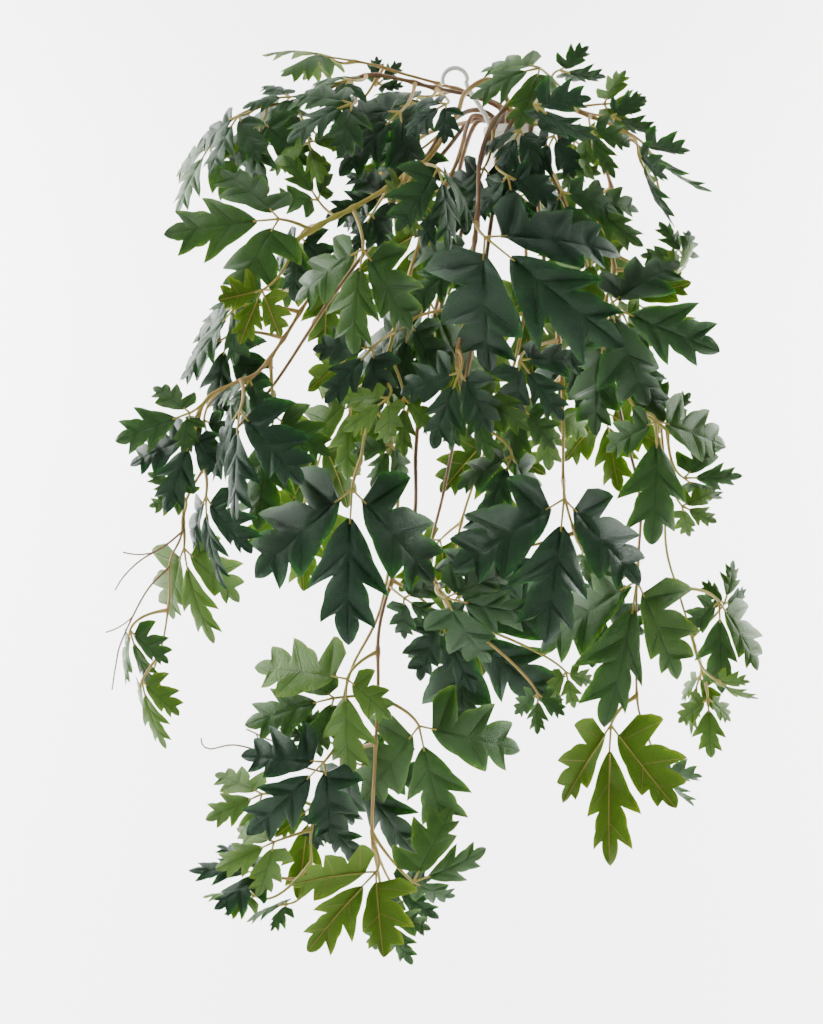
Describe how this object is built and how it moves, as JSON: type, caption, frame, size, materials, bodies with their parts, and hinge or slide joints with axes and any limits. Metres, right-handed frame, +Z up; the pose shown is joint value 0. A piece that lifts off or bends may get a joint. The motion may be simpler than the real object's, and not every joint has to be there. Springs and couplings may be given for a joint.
{
  "type": "hanging grape ivy",
  "caption": "Grape ivy whose long leafy vines spill from a small pot that hangs from a pair of wire hooks.",
  "frame": {"origin": "on the pot's axis, at the height where the left hook's crook bears on what carries it", "axes": "+Z up, -Y towards the viewer of the picture, +X to the viewer's right"},
  "size_m": [0.631, 0.3598, 0.908],
  "materials": {
    "pot": "satin off-white",
    "hook": "glossy white coating over wire",
    "filler": "loose dark potting fibre",
    "leaf_young": "thin yellow-green leaf on a tan stem",
    "leaf_mid": "leathery mid-green leaf on an olive stem",
    "leaf_dark": "leathery dark green leaf with a waxy sheen"
  },
  "bodies": {
    "root": {"pot": "pot", "hook_left": "hook", "hook_right": "hook", "filler": "filler", "vine_topLeftHigh": "leaf_mid", "vine_leftArch": "leaf_mid", "vine_frontLeft": "leaf_mid", "vine_centreFront": "leaf_dark", "vine_topRight": "leaf_young", "vine_right": "leaf_mid", "vine_rightLow": "leaf_mid", "vine_farRight": "leaf_young", "vine_left": "leaf_dark", "vine_leftLow": "leaf_young", "vine_innerLeft": "leaf_dark", "vine_centreLow": "leaf_mid", "vine_bottomLeft": "leaf_mid", "vine_rightCentre": "leaf_dark", "vine_centreSecond": "leaf_dark", "vine_backLeft": "leaf_mid", "vine_backRight": "leaf_mid", "vine_backMiddle": "leaf_mid"}
  },
  "joints": []
}
